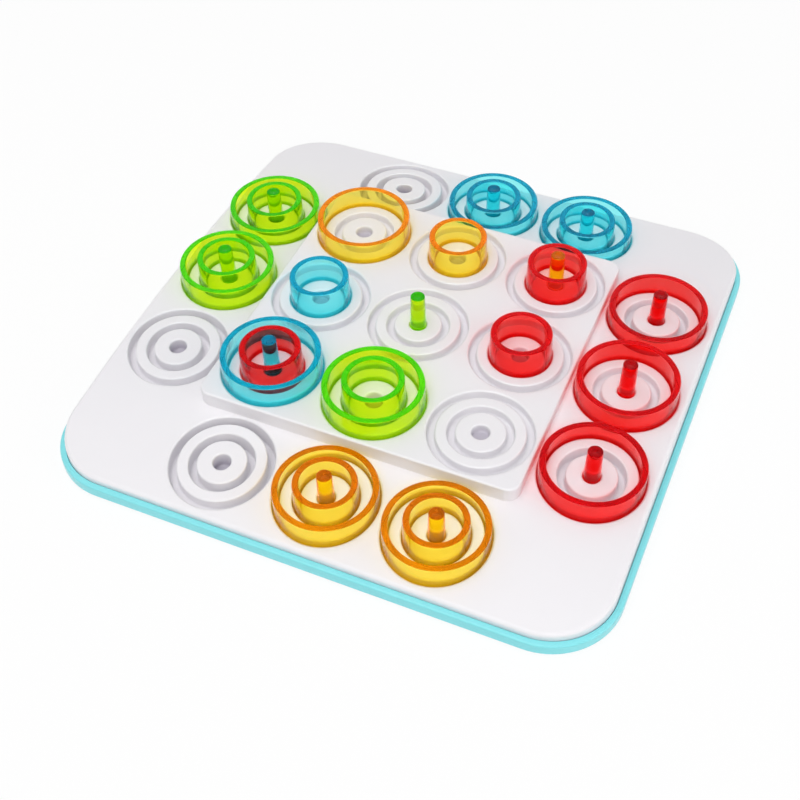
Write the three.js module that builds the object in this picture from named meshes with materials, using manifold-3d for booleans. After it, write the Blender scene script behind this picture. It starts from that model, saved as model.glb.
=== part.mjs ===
// Concentric tic-tac-toe game: a square white board with twenty-one round seats, held in a turquoise tray by
// screws, and thirty-six clear plastic pieces in the seats: large rings, medium rings and pegs in four colours.
// Millimetres, +Z up. The origin is the middle of the tray's underside, and the amber row is on the -Y side.
import * as THREE from 'three';
import { mergeVertices } from 'three/addons/utils/BufferGeometryUtils.js';
import Module from 'manifold-3d';

const wasm = await Module();
wasm.setup();

// Game pieces
const RING_WALL = 2.6;
const RING_DRAFT = 1.9; // degrees that a ring widens towards its foot, on each side
const PEG_DRAFT = 1.2; // degrees that a peg widens towards its foot, on each side
const LARGE_TOP_RADIUS = 21.7;
const LARGE_RISE = 9.7; // height above the plateau
const MEDIUM_TOP_RADIUS = 13.25;
const MEDIUM_RISE = 12.7;
const PEG_TOP_RADIUS = 3.15;
const PEG_RISE = 17;

// Seats, whose floors are level although the deck is crowned
const PIECE_FIT = 0.25; // clearance between a piece and the walls of its groove or hole
const REST_GAP = 0.2; // clearance under a piece that rests on another
const SEAT_DEPTH = 4; // below the lowest point of the deck round the seat
const SEAT_LAND = 3.2; // deck between two neighbouring seats
const SEAT_WALL = 1.6; // plastic under a seat's floor and around its outer groove

// White top, whose deck is a barrel that falls away to the front and to the back
const SHELL = 2;
const DECK_RADIUS = 850;
const DECK_MARGIN = 3.5; // deck outside the outer rows
const TOP_CORNER = 28;
const TOP_EDGE = 1.6;
const PLATEAU_RISE = 4.2; // above the deck's crown
const PLATEAU_MARGIN = 2;
const PLATEAU_CORNER = 6;
const PLATEAU_EDGE = 1.2;

// Turquoise tray
const TRAY_FLOOR = 2.4;
const FLOOR_GAP = 1.4; // space between the tray's floor and the deepest seats
const TRAY_GAP = 0.5; // gap between the white skirt and the tray's rim
const TRAY_LEDGE = 2.3;
const TRAY_EDGE = 0.9;
const EDGE_SHOW = 3.1; // height of the white top's front and back edges above the ledge

// Screws, which come up through pockets in the tray into bosses under the white top
const SCREW_HEAD_RADIUS = 3;
const SCREW_HEAD_HEIGHT = 1.6;
const SCREW_SHANK_RADIUS = 1.4;
const SCREW_GRIP = 3.6; // length of thread in the boss
const SCREW_FIT = 0.3;
const SCREW_SLOT_WIDTH = 0.9;
const SCREW_SLOT_LENGTH = 3.6;
const SCREW_SLOT_DEPTH = 0.9;
const POCKET_DEPTH = 2.4;
const POCKET_WALL = 1.8;
const BOSS_WALL = 2.4;

// Fineness of the round shapes
const RING_SEGMENTS = 18;
const PEG_SEGMENTS = 12;
const CORNER_SEGMENTS = 6;
const EDGE_SEGMENTS = 2;
const CROWN_SEGMENTS = 10;

// Sizes that follow from those above
const LARGE = ringSizes(LARGE_TOP_RADIUS, LARGE_RISE);
const MEDIUM = ringSizes(MEDIUM_TOP_RADIUS, MEDIUM_RISE);
const PEG = pegSizes();
const PITCH = 2 * LARGE.grooveOuter + SEAT_LAND;
const PLATEAU_HALF = PITCH + LARGE.grooveOuter + PLATEAU_MARGIN;
const TOP_HALF = 2 * PITCH + LARGE.grooveOuter + DECK_MARGIN;
const TRAY_HALF = TOP_HALF + TRAY_GAP + TRAY_LEDGE;
const SEAT_RADIUS = LARGE.grooveOuter + SEAT_WALL - REST_GAP;
const OUTER_ROW_FAR = 2 * PITCH + LARGE.grooveOuter;
const OUTER_ROW_NEAR = 2 * PITCH - LARGE.grooveOuter;
const DECK_CROWN = TRAY_FLOOR + FLOOR_GAP + SEAT_WALL + SEAT_DEPTH + crownDrop(OUTER_ROW_FAR);
const PLATEAU_TOP = DECK_CROWN + PLATEAU_RISE;
const LEDGE_TOP = deckLevel(TOP_HALF) - EDGE_SHOW;
const SKIRT_FOOT = TRAY_FLOOR + REST_GAP;
const DEEPEST_WALL = deckLevel(OUTER_ROW_NEAR) - deckLevel(OUTER_ROW_FAR) + SEAT_DEPTH;
const POCKET_RADIUS = SCREW_HEAD_RADIUS + SCREW_FIT;
const PILOT_RADIUS = SCREW_SHANK_RADIUS + SCREW_FIT / 2;
const BOSS_FOOT = POCKET_DEPTH + POCKET_WALL + REST_GAP;
const ABOVE = 1; // how far a cutter runs past the face that it cuts

// Seats as columns and rows of a five by five grid without its corners
const SIDE = [-1, 0, 1];
const CENTRE_SEATS = SIDE.flatMap((column) => SIDE.map((row) => [column, row]));
const OUTER_SEATS = SIDE.flatMap((step) => [[step, -2], [2, step], [step, 2], [-2, step]]);
const SEATS = [...CENTRE_SEATS, ...OUTER_SEATS];

// Who has which piece in which seat, in the middle of a game
const PLAYERS = [
  {
    name: 'green', tint: 0x8fd614,
    large: [[-2, 1], [-2, 0], [0, -1]],
    medium: [[-2, 1], [-2, 0], [0, -1]],
    pegs: [[-2, 1], [-2, 0], [0, 0]],
  },
  {
    name: 'amber', tint: 0xf2a81d,
    large: [[0, -2], [1, -2], [-1, 1]],
    medium: [[0, -2], [1, -2], [0, 1]],
    pegs: [[0, -2], [1, -2], [1, 1]],
  },
  {
    name: 'red', tint: 0xe2231f,
    large: [[2, -1], [2, 0], [2, 1]],
    medium: [[1, 1], [1, 0], [-1, -1]],
    pegs: [[2, -1], [2, 0], [2, 1]],
  },
  {
    name: 'blue', tint: 0x2cb4d2,
    large: [[0, 2], [1, 2], [-1, -1]],
    medium: [[0, 2], [1, 2], [-1, 0]],
    pegs: [[0, 2], [1, 2], [-1, -1]],
  },
];

// Screws stand in the four bare corners of the deck and between the seats of the plateau
const CORNERS = [[1, -1], [1, 1], [-1, 1], [-1, -1]];
const SCREW_PLACES = [2, 0.5].flatMap((step) => CORNERS.map(([x, y]) => [x * step * PITCH, y * step * PITCH]));

function drift(height, degrees) {
  return height * Math.tan(THREE.MathUtils.degToRad(degrees));
}

/** How far the deck has fallen at a distance from its crown. */
function crownDrop(y) {
  return DECK_RADIUS - Math.sqrt(DECK_RADIUS ** 2 - y ** 2);
}

function deckLevel(y) {
  return DECK_CROWN - crownDrop(y);
}

/** A ring's radii, its height, and the outer wall of the groove that takes it. */
function ringSizes(topRadius, rise) {
  const height = rise + SEAT_DEPTH - REST_GAP;
  const footRadius = topRadius + drift(height, RING_DRAFT);
  return { height, topRadius, footRadius, grooveOuter: footRadius + PIECE_FIT };
}

/** The inner wall of a ring's groove, which clears the ring where the groove is deepest. */
function grooveInner({ footRadius }) {
  return footRadius - drift(DEEPEST_WALL, RING_DRAFT) - RING_WALL - PIECE_FIT;
}

/** The peg's radii and height, and the hole that takes it. */
function pegSizes() {
  const height = PEG_RISE + SEAT_DEPTH - REST_GAP;
  const footRadius = PEG_TOP_RADIUS + drift(height, PEG_DRAFT);
  return { height, footRadius, holeRadius: footRadius + PIECE_FIT };
}

function isOuter([column, row]) {
  return Math.abs(column) === 2 || Math.abs(row) === 2;
}

/** The level of a seat's floor. */
function seatFloor(seat) {
  const brim = isOuter(seat) ? deckLevel(Math.abs(seat[1]) * PITCH + LARGE.grooveOuter) : PLATEAU_TOP;
  return brim - SEAT_DEPTH;
}

function seatPlace([column, row]) {
  return [column * PITCH, row * PITCH, 0];
}

/** A closed geometry as a solid that can be joined and cut. */
function solidOf(geometry) {
  const bare = geometry.clone();
  bare.deleteAttribute('normal');
  bare.deleteAttribute('uv');
  const merged = mergeVertices(bare);
  return new wasm.Manifold(new wasm.Mesh({
    numProp: 3,
    vertProperties: new Float32Array(merged.attributes.position.array),
    triVerts: new Uint32Array(merged.index.array),
  }));
}

/** A solid as a geometry. */
function geometryOf(solid) {
  const mesh = solid.getMesh();
  const geometry = new THREE.BufferGeometry();
  geometry.setAttribute('position', new THREE.BufferAttribute(mesh.vertProperties, 3));
  geometry.setIndex(new THREE.BufferAttribute(mesh.triVerts, 1));
  geometry.computeVertexNormals();
  return geometry;
}

/** An upright round bar, or a cone where the top radius differs. */
function bar(footRadius, bottom, top, segments, topRadius = footRadius) {
  return new THREE.CylinderGeometry(topRadius, footRadius, top - bottom, segments)
    .rotateX(Math.PI / 2)
    .translate(0, 0, (bottom + top) / 2);
}

/** A ring about +Z whose section is closed: points of [radius, height], anticlockwise. */
function ringOf(section) {
  const points = [...section, section[0]].map(([radius, height]) => new THREE.Vector2(radius, height));
  return new THREE.LatheGeometry(points, RING_SEGMENTS).rotateX(Math.PI / 2);
}

/** An upright plate with rounded corners, and rounded edges where an edge radius is given. */
function plate(half, corner, bottom, top, edge = 0) {
  const radius = corner - edge;
  const middle = half - corner;
  const shape = new THREE.Shape();
  CORNERS.forEach(([x, y], quarter) => {
    const start = (quarter - 1) * Math.PI / 2;
    shape.absarc(x * middle, y * middle, radius, start, start + Math.PI / 2, false);
  });
  shape.closePath();
  return new THREE.ExtrudeGeometry(shape, {
    depth: top - bottom - 2 * edge,
    curveSegments: CORNER_SEGMENTS,
    bevelEnabled: edge > 0,
    bevelThickness: edge,
    bevelSize: edge,
    bevelSegments: EDGE_SEGMENTS,
  }).translate(0, 0, bottom + edge);
}

/** The right half of a rounded square's outline from front to back, with steps along its straight side. */
function halfOutline(half, corner) {
  const middle = half - corner;
  const arc = (centre, start) => Array.from({ length: CORNER_SEGMENTS + 1 }, (_, step) => {
    const angle = start + (step / CORNER_SEGMENTS) * Math.PI / 2;
    return [middle + corner * Math.cos(angle), centre + corner * Math.sin(angle)];
  });
  const side = Array.from({ length: CROWN_SEGMENTS - 1 }, (_, step) => (
    [half, middle * (2 * (step + 1) / CROWN_SEGMENTS - 1)]
  ));
  return [...arc(-middle, -Math.PI / 2), ...side, ...arc(middle, 0)];
}

/** A block on a rounded square, crowned like the deck and lowered by sink, with a rounded upper edge. */
function crownedBlock(half, corner, bottom, sink, edge = 0) {
  const insets = edge > 0 ? Array.from({ length: EDGE_SEGMENTS + 1 }, (_, step) => step / EDGE_SEGMENTS) : [1];
  const layers = [{ inset: 0, level: () => bottom }, ...insets.map((part) => {
    const angle = part * Math.PI / 2;
    const fall = sink + edge * (1 - Math.sin(angle));
    return { inset: edge * (1 - Math.cos(angle)), level: (y) => deckLevel(y) - fall };
  })];
  const positions = [];
  const stations = halfOutline(half, corner).length;
  for (const { inset, level } of layers) {
    const right = halfOutline(half - inset, corner - inset);
    const loop = [...right, ...right.map(([x, y]) => [-x, y]).reverse()];
    loop.forEach(([x, y]) => positions.push(x, y, level(y)));
  }
  const count = 2 * stations;
  const indices = [];
  for (let layer = 1; layer < layers.length; layer += 1) {
    for (let at = 0; at < count; at += 1) {
      const next = (at + 1) % count;
      const lower = (layer - 1) * count;
      const upper = layer * count;
      indices.push(lower + at, lower + next, upper + next, lower + at, upper + next, upper + at);
    }
  }
  const roof = (layers.length - 1) * count;
  for (let at = 0; at < stations - 1; at += 1) {
    const [a, b, c, d] = [at, at + 1, count - 2 - at, count - 1 - at];
    indices.push(roof + a, roof + b, roof + c, roof + a, roof + c, roof + d);
    indices.push(a, c, b, a, d, c);
  }
  const geometry = new THREE.BufferGeometry();
  geometry.setAttribute('position', new THREE.Float32BufferAttribute(positions, 3));
  geometry.setIndex(indices);
  return geometry;
}

/** The two grooves and the hole of one seat, as the solid that is cut away. */
function seatCutter(seat) {
  const floor = seatFloor(seat);
  const top = (isOuter(seat) ? DECK_CROWN : PLATEAU_TOP) + ABOVE;
  let cutter = solidOf(bar(PEG.holeRadius, floor, top, PEG_SEGMENTS));
  for (const size of [LARGE, MEDIUM]) {
    const inner = grooveInner(size);
    const outer = size.grooveOuter;
    cutter = cutter.add(solidOf(ringOf([[inner, floor], [outer, floor], [outer, top], [inner, top]])));
  }
  return cutter.translate(seatPlace(seat));
}

/** White top: a hollow crowned cover with a flat square plateau, seats, and screw bosses underneath. */
function boardTop() {
  const below = SKIRT_FOOT - ABOVE;
  const plateauFoot = deckLevel(PLATEAU_HALF) - SHELL;
  const plateau = solidOf(plate(PLATEAU_HALF, PLATEAU_CORNER, plateauFoot, PLATEAU_TOP, PLATEAU_EDGE));
  const core = solidOf(crownedBlock(TOP_HALF, TOP_CORNER, SKIRT_FOOT, SHELL / 2));
  let top = solidOf(crownedBlock(TOP_HALF, TOP_CORNER, SKIRT_FOOT, 0, TOP_EDGE))
    .subtract(solidOf(crownedBlock(TOP_HALF - SHELL, TOP_CORNER - SHELL, below, SHELL)))
    .add(plateau)
    .subtract(solidOf(plate(PLATEAU_HALF - SHELL, PLATEAU_CORNER - SHELL, below, PLATEAU_TOP - SHELL)));
  for (const seat of SEATS) {
    const cup = solidOf(bar(SEAT_RADIUS, seatFloor(seat) - SEAT_WALL, PLATEAU_TOP - SHELL / 2, RING_SEGMENTS))
      .translate(seatPlace(seat));
    top = top.add(isOuter(seat) ? cup.intersect(core) : cup);
  }
  for (const [x, y] of SCREW_PLACES) {
    const roof = Math.abs(x) > PLATEAU_HALF ? deckLevel(y) : PLATEAU_TOP;
    const boss = solidOf(bar(PILOT_RADIUS + BOSS_WALL, BOSS_FOOT, roof - SHELL / 2, PEG_SEGMENTS));
    const tip = BOSS_FOOT + SCREW_GRIP + SCREW_FIT;
    const pilot = solidOf(bar(PILOT_RADIUS, BOSS_FOOT - ABOVE, tip, PEG_SEGMENTS));
    top = top.add(boss.translate([x, y, 0])).subtract(pilot.translate([x, y, 0]));
  }
  for (const seat of SEATS) {
    top = top.subtract(seatCutter(seat));
  }
  return geometryOf(top);
}

/** Turquoise tray: a floor, a rim whose top shows as a ledge, and a pocket for each screw. */
function baseTray() {
  const opening = TRAY_HALF - TRAY_LEDGE;
  let tray = solidOf(plate(TRAY_HALF, TOP_CORNER + TRAY_GAP + TRAY_LEDGE, 0, LEDGE_TOP, TRAY_EDGE))
    .subtract(solidOf(plate(opening, TOP_CORNER + TRAY_GAP, TRAY_FLOOR, LEDGE_TOP + ABOVE)));
  for (const [x, y] of SCREW_PLACES) {
    const cup = solidOf(bar(POCKET_RADIUS + POCKET_WALL, 0, POCKET_DEPTH + POCKET_WALL, PEG_SEGMENTS));
    const pocket = solidOf(bar(POCKET_RADIUS, -ABOVE, POCKET_DEPTH, PEG_SEGMENTS));
    const hole = solidOf(bar(SCREW_SHANK_RADIUS + SCREW_FIT, 0, BOSS_FOOT + ABOVE, PEG_SEGMENTS));
    tray = tray.add(cup.translate([x, y, 0])).subtract(pocket.add(hole).translate([x, y, 0]));
  }
  return geometryOf(tray);
}

/** Screw, head down in its pocket, with a cross slot. */
function screw() {
  const headTop = POCKET_DEPTH - REST_GAP;
  const headFoot = headTop - SCREW_HEAD_HEIGHT;
  const shankFoot = headTop - SCREW_HEAD_HEIGHT / 2;
  let body = solidOf(bar(SCREW_HEAD_RADIUS, headFoot, headTop, PEG_SEGMENTS))
    .add(solidOf(bar(SCREW_SHANK_RADIUS, shankFoot, BOSS_FOOT + SCREW_GRIP, PEG_SEGMENTS)));
  for (const [width, depth] of [[SCREW_SLOT_LENGTH, SCREW_SLOT_WIDTH], [SCREW_SLOT_WIDTH, SCREW_SLOT_LENGTH]]) {
    const slot = new THREE.BoxGeometry(width, depth, 2 * SCREW_SLOT_DEPTH).translate(0, 0, headFoot);
    body = body.subtract(solidOf(slot));
  }
  return geometryOf(body);
}

/** Ring that stands on z = 0, of even wall, narrowing upwards. */
function ring({ height, topRadius, footRadius }) {
  return ringOf([
    [footRadius - RING_WALL, 0],
    [footRadius, 0],
    [topRadius, height],
    [topRadius - RING_WALL, height],
  ]);
}

/** Peg that stands on z = 0, narrowing upwards. */
function peg() {
  return bar(PEG.footRadius, 0, PEG.height, PEG_SEGMENTS, PEG_TOP_RADIUS);
}

const whitePlastic = new THREE.MeshStandardMaterial({ color: 0xeceaee, roughness: 0.35, metalness: 0 });
const turquoisePlastic = new THREE.MeshStandardMaterial({ color: 0x5cdde6, roughness: 0.35, metalness: 0 });
const steel = new THREE.MeshStandardMaterial({ color: 0x9a9da1, roughness: 0.35, metalness: 1 });

function clearPlastic(color) {
  return new THREE.MeshStandardMaterial({
    color, roughness: 0.08, metalness: 0, transparent: true, opacity: 0.8,
  });
}

function named(name, geometry, material) {
  const mesh = new THREE.Mesh(geometry, material);
  mesh.name = name;
  return mesh;
}

/** Stands copies of one piece in their seats. */
function standIn(parent, name, geometry, material, seats) {
  seats.forEach((seat, index) => {
    const mesh = named(`${name}_${index + 1}`, geometry, material);
    const [x, y] = seatPlace(seat);
    mesh.position.set(x, y, seatFloor(seat) + REST_GAP);
    parent.add(mesh);
  });
}

const game = new THREE.Group();
const board = new THREE.Group();
board.add(named('board_top', boardTop(), whitePlastic));
board.add(named('base_tray', baseTray(), turquoisePlastic));
const screwShape = screw();
SCREW_PLACES.forEach(([x, y], index) => {
  const fastener = named(`screw_${index + 1}`, screwShape, steel);
  fastener.position.set(x, y, 0);
  board.add(fastener);
});
game.add(board);

const largeRing = ring(LARGE);
const mediumRing = ring(MEDIUM);
const pegShape = peg();
for (const player of PLAYERS) {
  const set = new THREE.Group();
  const plastic = clearPlastic(player.tint);
  standIn(set, `${player.name}_large_ring`, largeRing, plastic, player.large);
  standIn(set, `${player.name}_medium_ring`, mediumRing, plastic, player.medium);
  standIn(set, `${player.name}_peg`, pegShape, plastic, player.pegs);
  game.add(set);
}

export default game;
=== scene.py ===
"""Dresses the concentric tic-tac-toe game: a white deck in a turquoise tray, and clear rings and pegs.

Shapes are made in millimetres, in the frame of the CAD model, and scaled to metres when they are done.
"""

import logging
import math
from collections.abc import Callable, Iterator
from dataclasses import dataclass, field
from enum import Enum
from itertools import product
from typing import ClassVar

import bmesh
import bpy
from mathutils import Matrix, Quaternion, Vector

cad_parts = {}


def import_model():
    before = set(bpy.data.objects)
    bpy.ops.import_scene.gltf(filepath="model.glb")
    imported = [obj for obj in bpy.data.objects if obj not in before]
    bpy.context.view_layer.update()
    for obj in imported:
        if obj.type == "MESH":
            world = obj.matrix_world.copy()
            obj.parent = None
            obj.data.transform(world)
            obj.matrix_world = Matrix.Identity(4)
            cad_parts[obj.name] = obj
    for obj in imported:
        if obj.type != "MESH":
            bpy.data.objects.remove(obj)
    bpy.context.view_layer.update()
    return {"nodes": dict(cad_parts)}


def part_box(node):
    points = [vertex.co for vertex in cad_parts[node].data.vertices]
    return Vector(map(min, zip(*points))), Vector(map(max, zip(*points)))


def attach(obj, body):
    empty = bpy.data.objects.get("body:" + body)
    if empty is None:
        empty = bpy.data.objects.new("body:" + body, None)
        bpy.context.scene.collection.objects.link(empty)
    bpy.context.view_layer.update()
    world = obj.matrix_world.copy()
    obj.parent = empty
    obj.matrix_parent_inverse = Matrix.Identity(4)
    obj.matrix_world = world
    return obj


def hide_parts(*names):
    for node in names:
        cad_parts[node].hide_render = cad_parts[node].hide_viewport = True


LOG = logging.getLogger("scene")

MILLIMETRE = 0.001

# Names of the mesh attributes that the finishes read.
# The rim mask tells where the clear pieces paint light at their rims.
RIM_LIGHT_MASK = "rim_light"
# The recess mask tells where shade is painted into the white top's seats.
RECESS_SHADE_MASK = "painted_recess_shade"

# Millimetres: the level strip that is kept beside a rounding, and the play in finding corners by their place.
FLAT = 0.05
PLAY = 0.01

Colour = tuple[float, float, float]
Corners = list[bmesh.types.BMVert]
Edges = list[bmesh.types.BMEdge]
Placing = Callable[[Vector], Vector]
Level = Callable[[Vector], float]


class Anchor(Enum):
    """What a corner of a seat's section keeps its height from."""

    DECK = "deck"
    FLOOR = "floor"


class Kind(Enum):
    """The kinds of game pieces, as their nodes name them."""

    LARGE_RING = "large_ring"
    MEDIUM_RING = "medium_ring"
    PEG = "peg"


class Player(Enum):
    """The four sets of game pieces, as their nodes name them."""

    GREEN = "green"
    AMBER = "amber"
    RED = "red"
    BLUE = "blue"


def rgb(code: str) -> Colour:
    """Turns a web colour into linear light.

    Args:
        code: Six hexadecimal digits, such as "E07B00".

    Returns:
        Red, green and blue from 0 to 1.
    """
    parts = [int(code[start : start + 2], 16) / 255 for start in (0, 2, 4)]
    return tuple(p / 12.92 if p <= 0.04045 else ((p + 0.055) / 1.055) ** 2.4 for p in parts)


def rgba(colour: Colour) -> tuple[float, float, float, float]:
    """Gives a colour as a node's colour socket holds it."""
    return (*colour, 1.0)


BLACK: Colour = (0.0, 0.0, 0.0)
PURE_WHITE: Colour = (1.0, 1.0, 1.0)


def quarter(steps: int) -> list[float]:
    """Angles of a quarter turn, both ends included.

    Args:
        steps: Number of facets in the turn.

    Returns:
        Angles in radians, from 0 to a right angle.
    """
    return [math.pi / 2 * step / steps for step in range(steps + 1)]


@dataclass(frozen=True)
class Step:
    """The end of a row of faces: how far out from the first row, and how high over the base."""

    out: float
    rise: float


def from_level(out: float, rise: float, facets: int) -> list[Step]:
    """Rounds from a level face to an upright one.

    Args:
        out: How far out the rounding ends, or how far in where it is negative.
        rise: How far up it ends, or down.
        facets: Facets of the rounding.

    Returns:
        The rows of the rounding.
    """
    return [Step(out * math.sin(a), rise * (1 - math.cos(a))) for a in quarter(facets)[1:]]


def to_level(edge: float, facets: int) -> list[Step]:
    """Brings an upright face up to a level one inside it, with a rounded edge.

    Args:
        edge: Radius of the edge.
        facets: Facets of the edge.

    Returns:
        The rows, which start with the upright face.
    """
    return [Step(-edge * (1 - math.cos(a)), -edge * (1 - math.sin(a))) for a in quarter(facets)]


def on_circle(point: Vector, centre: Vector, radius: float, level: float) -> Vector:
    """Moves a point straight to or from a middle, and to a height.

    Args:
        point: The point.
        centre: The middle.
        radius: The new distance from the middle.
        level: The new height.

    Returns:
        The new place.
    """
    there = centre.xy + (point.xy - centre.xy).normalized() * radius
    return Vector((there.x, there.y, level))


@dataclass(frozen=True)
class PieceSizes:
    """Millimetre sizes that rings and pegs share, and the groove or hole that takes them."""

    top_radius: float
    rise: float
    draft: float
    edge: float
    sunk: float = 3.8
    fit: float = 0.25

    @property
    def height(self) -> float:
        """Height of the piece, with the part that stands in its seat."""
        return self.rise + self.sunk

    def drift(self, height: float) -> float:
        """How far a wall leans out over a height."""
        return height * math.tan(math.radians(self.draft))

    @property
    def foot_radius(self) -> float:
        """Outer radius at the foot."""
        return self.top_radius + self.drift(self.height)

    @property
    def seat_radius(self) -> float:
        """Radius of the hole, or of the groove's outer wall."""
        return self.foot_radius + self.fit


@dataclass(frozen=True)
class RingSizes(PieceSizes):
    """Millimetre sizes of a ring and of its groove."""

    wall: float = 2.6

    def groove_inner(self, depth: float) -> float:
        """Radius of the groove's inner wall, for a groove of this depth."""
        return self.foot_radius - self.drift(depth) - self.wall - self.fit


@dataclass(frozen=True)
class PegSizes(PieceSizes):
    """Millimetre sizes of a peg, with the radii of its dimple as shares of the top's."""

    dimple: float = 0.25
    dimple_mouth: float = 0.5
    dimple_bend: float = 0.3
    dimple_bend_depth: float = 0.7


@dataclass(frozen=True)
class BoardSizes:
    """Millimetre sizes of the white top and of the tray under it."""

    large: RingSizes = RingSizes(top_radius=21.7, rise=9.7, draft=1.9, edge=0.4)
    medium: RingSizes = RingSizes(top_radius=13.25, rise=12.7, draft=1.9, edge=0.4)
    peg: PegSizes = PegSizes(top_radius=3.15, rise=17.0, draft=1.2, edge=0.35)
    seat_land: float = 3.2
    seat_depth: float = 4.0
    seat_wall: float = 1.6
    deck_radius: float = 850.0
    deck_margin: float = 3.5
    top_corner: float = 28.0
    top_edge: float = 1.6
    skirt: float = 2.0
    skirt_edge: float = 0.3
    skirt_gap: float = 0.2
    ceiling_gap: float = 2.2
    plateau_rise: float = 4.2
    plateau_margin: float = 2.0
    plateau_corner: float = 6.0
    plateau_edge: float = 0.9
    plateau_foot: float = 0.2
    tray_floor: float = 2.4
    floor_gap: float = 1.4
    tray_gap: float = 0.5
    tray_ledge: float = 2.3
    tray_edge: float = 0.9
    tray_lip: float = 0.3
    edge_show: float = 3.1
    moat: float = 0.2

    @property
    def pitch(self) -> float:
        """Distance between neighbouring seats."""
        return 2 * self.large.seat_radius + self.seat_land

    @property
    def plateau_half(self) -> float:
        """Half the width of the raised square."""
        return self.pitch + self.large.seat_radius + self.plateau_margin

    @property
    def top_half(self) -> float:
        """Half the width of the white top."""
        return 2 * self.pitch + self.large.seat_radius + self.deck_margin

    @property
    def crown(self) -> float:
        """Height of the deck along its middle."""
        sunk = self.tray_floor + self.floor_gap + self.seat_wall + self.seat_depth
        return sunk + self.crown_drop(2 * self.pitch + self.large.seat_radius)

    @property
    def plateau_top(self) -> float:
        """Height of the raised square."""
        return self.crown + self.plateau_rise

    @property
    def tray_half(self) -> float:
        """Half the width of the tray."""
        return self.top_half + self.tray_gap + self.tray_ledge

    @property
    def tray_corner(self) -> float:
        """Radius of the tray's corners."""
        return self.top_corner + self.tray_gap + self.tray_ledge

    @property
    def ledge_top(self) -> float:
        """Height of the tray's rim."""
        return self.deck_level(self.top_half) - self.edge_show

    @property
    def deepest_wall(self) -> float:
        """Finds the highest wall of a groove, in the front and back rows.

        Returns:
            Its height.
        """
        reach = self.large.seat_radius
        near, far = 2 * self.pitch - reach, 2 * self.pitch + reach
        return self.deck_level(near) - self.deck_level(far) + self.seat_depth

    def crown_drop(self, y: float) -> float:
        """How far the deck has fallen at a distance from its middle."""
        return self.deck_radius - math.sqrt(self.deck_radius**2 - y**2)

    def deck_level(self, y: float) -> float:
        """Height of the deck outside the raised square."""
        return self.crown - self.crown_drop(y)


@dataclass(frozen=True)
class Seat:
    """One of the twenty-one round seats, by its column and its row."""

    column: int
    row: int
    reach: ClassVar[int] = 2

    @property
    def outer(self) -> bool:
        """Whether the seat is outside the raised square."""
        return max(abs(self.column), abs(self.row)) > 1

    def centre(self, sizes: BoardSizes) -> Vector:
        """Middle of the seat, at height 0."""
        return Vector((self.column * sizes.pitch, self.row * sizes.pitch, 0.0))

    def surface(self, sizes: BoardSizes, y: float) -> float:
        """Height of the board round the seat, at a distance from the board's middle."""
        return sizes.deck_level(y) if self.outer else sizes.plateau_top

    def floor(self, sizes: BoardSizes) -> float:
        """Height of the seat's level floor, below the lowest point of the board round it."""
        far = abs(self.row) * sizes.pitch + sizes.large.seat_radius
        return self.surface(sizes, far) - sizes.seat_depth

    @staticmethod
    def every() -> list["Seat"]:
        """Gives all seats of the board: a five by five grid without its corners.

        Returns:
            The seats, column by column.
        """
        reach = Seat.reach
        grid = product(range(-reach, reach + 1), repeat=2)
        return [Seat(column, row) for column, row in grid if abs(column * row) < reach**2]


@dataclass(frozen=True)
class SectionCorner:
    """A corner of a seat's section: its radius and its height above the deck or the floor."""

    radius: float
    anchor: Anchor
    rise: float


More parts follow.
